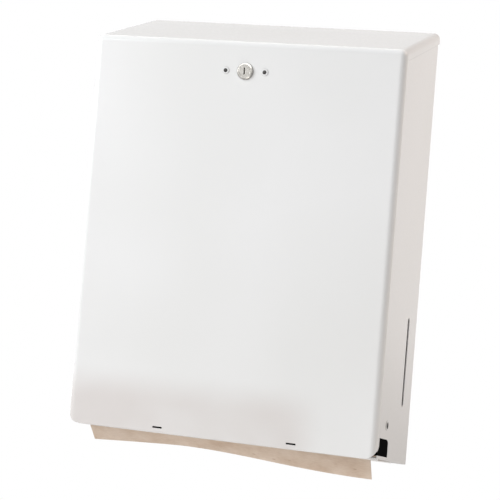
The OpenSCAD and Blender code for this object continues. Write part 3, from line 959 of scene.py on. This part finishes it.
def makePins(kind):
    cut = pinCut[kind]
    low, high = (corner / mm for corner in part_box(cut["node"]))
    middle = (low + high) / 2
    r = cut["radius"]
    profile = [(r * share, height) for share, height in pinCut["end"]] + [(r, -cut["deep"])]
    for side, label in ((-1, "Left"), (1, "Right")):
        if kind == "block":
            outward = (side, 0, 0)
            place = (side * (high.x + cut["proud"]), middle.y, middle.z)
        else:
            outward = (0, -1, 0)
            place = (side * coverCut["rivetX"], low.y - cut["proud"], middle.z)
        piece = turned(kind + "Pin" + label, profile, place, outward)
        smoothShade(piece, pinCut["shadeAngle"])
        dress(piece, oxideAndBoreShade, cut["body"], "zinc_steel")


makePins("block")
makePins("lock")
print("rivet pins made")


# Floor, light and background, in metres

studio = {
    "floor": "#F5F1ED",
    "floorDrop": 0.95,
    "floorReach": 2.4,
    "floorGloss": 0.75,
    "shadowFrom": 0.5,
    "shadowShare": 0.5,
    "sky": 0.46,
    "skyHigh": 0.06,
    "lowGloss": 0.5,
    "ceilingGloss": 4.0,
    "skyFrom": 0.15,  # from here to the lamps: heights on a dome of radius 1
    "skyFull": 0.75,
    "dimFrom": -0.07,
    "dimTo": -0.16,
    "ceilingFrom": 0.5,
    "ceilingFull": 0.8,
    "lamps": {
        "key": {"place": (-1.38, -1.33, 0.72), "size": 1.3, "watts": 34.5, "colour": "#FBFDFF"},
        "rim": {"place": (1.45, 0.6, 1.2), "size": 0.9, "watts": 16.0, "colour": "#FFEBDC"},
        "fill": {"place": (0.34, -0.62, -0.9), "size": 0.7, "watts": 3.1, "colour": "#FFFBF7"},
        "back": {"place": (-1.2, 1.7, -0.45), "size": 1.2, "watts": 10, "colour": "#FFFFFF"},
    },
}


def makeFloor():
    # pale floor that keeps a soft shadow near the object and fades to white; mirrored as a pale field
    made, tree = newMaterial("paleFloor")
    path = addNode(tree, "ShaderNodeLightPath")
    where = addNode(tree, "ShaderNodeTexCoord").outputs["Object"]
    level = addNode(tree, "ShaderNodeMapping", Vector=where, Scale=(1, 1, 0)).outputs["Vector"]
    away = addNode(tree, "ShaderNodeVectorMath", {"operation": "LENGTH"}, i0=level).outputs["Value"]
    fade = addNode(
        tree, "ShaderNodeMapRange", {"interpolation_type": "SMOOTHSTEP"}, Value=away,
        From_Min=studio["shadowFrom"], From_Max=studio["floorReach"],
        To_Min=1 - studio["shadowShare"], To_Max=1.0,
    ).outputs["Result"]
    glow = addNode(
        tree, "ShaderNodeMapRange", Value=path.outputs["Is Camera Ray"],
        To_Min=studio["floorGloss"], To_Max=1.0,
    ).outputs["Result"]
    seen = addNode(
        tree, "ShaderNodeMath", {"operation": "MULTIPLY_ADD"},
        i0=path.outputs["Is Camera Ray"], i1=fade, i2=path.outputs["Is Glossy Ray"],
    ).outputs[0]
    white = addNode(tree, "ShaderNodeEmission", Color=(1, 1, 1, 1), Strength=glow)
    matte = addNode(tree, "ShaderNodeBsdfDiffuse", Color=linear(studio["floor"]))
    both = addNode(tree, "ShaderNodeMixShader", Fac=seen, i1=matte.outputs[0], i2=white.outputs[0])
    addNode(tree, "ShaderNodeOutputMaterial", Surface=both.outputs[0])
    z = cadLow.z - studio["floorDrop"]
    reach = studio["floorReach"]
    corners = [(-reach, -reach, z), (reach, -reach, z), (reach, reach, z), (-reach, reach, z)]
    floor = newPiece("floor", corners, [(0, 1, 2, 3)])
    floor.data.materials.append(made)


def makeWorld():
    # white to the eye; reflections see a room that is dimmer below, with a bright ceiling panel,
    # and the walls give a weaker light
    world = bpy.data.worlds.new("whiteRoom")
    scene.world = world
    world.use_nodes = True
    tree = world.node_tree
    tree.nodes.clear()
    path = addNode(tree, "ShaderNodeLightPath")
    toward = addNode(tree, "ShaderNodeTexCoord").outputs["Generated"]
    height = addNode(tree, "ShaderNodeSeparateXYZ", Vector=toward).outputs["Z"]
    mirrored = addNode(
        tree, "ShaderNodeMapRange", {"interpolation_type": "SMOOTHSTEP"}, Value=height,
        From_Min=studio["dimTo"], From_Max=studio["dimFrom"], To_Min=studio["lowGloss"], To_Max=1.0,
    ).outputs["Result"]
    ceiling = addNode(
        tree, "ShaderNodeMapRange", {"interpolation_type": "SMOOTHSTEP"}, Value=height,
        From_Min=studio["ceilingFrom"], From_Max=studio["ceilingFull"],
        To_Min=1.0, To_Max=studio["ceilingGloss"],
    ).outputs["Result"]
    bright = addNode(tree, "ShaderNodeMath", {"operation": "MULTIPLY"}, i0=mirrored, i1=ceiling).outputs[0]
    walls = addNode(
        tree, "ShaderNodeMapRange", Value=height, From_Min=studio["skyFrom"], From_Max=studio["skyFull"],
        To_Min=studio["sky"], To_Max=studio["skyHigh"],
    ).outputs["Result"]
    lit = addNode(tree, "ShaderNodeMix", i0=path.outputs["Is Glossy Ray"], i2=walls, i3=bright).outputs[0]
    straight = addNode(
        tree, "ShaderNodeMath", {"operation": "MAXIMUM"},
        i0=path.outputs["Is Camera Ray"], i1=path.outputs["Is Transmission Ray"],
    ).outputs[0]
    level = addNode(tree, "ShaderNodeMix", i0=straight, i2=lit, i3=1.0).outputs[0]
    sky = addNode(tree, "ShaderNodeBackground", Color=(1, 1, 1, 1), Strength=level)
    addNode(tree, "ShaderNodeOutputWorld", Surface=sky.outputs[0])


def makeLamp(name, setting):
    lamp = bpy.data.lights.new(name + "Light", "AREA")
    lamp.size = setting["size"]
    lamp.energy = setting["watts"]
    lamp.color = linear(setting["colour"])[:3]
    made = bpy.data.objects.new(name + "Light", lamp)
    scene.collection.objects.link(made)
    made.location = setting["place"]
    aim = (cadLow + cadHigh) / 2 - made.location
    made.rotation_euler = aim.to_track_quat("-Z", "Y").to_euler()


makeFloor()
makeWorld()
for name, setting in studio["lamps"].items():
    makeLamp(name, setting)
scene.view_settings.view_transform = "Standard"
print("studio made")
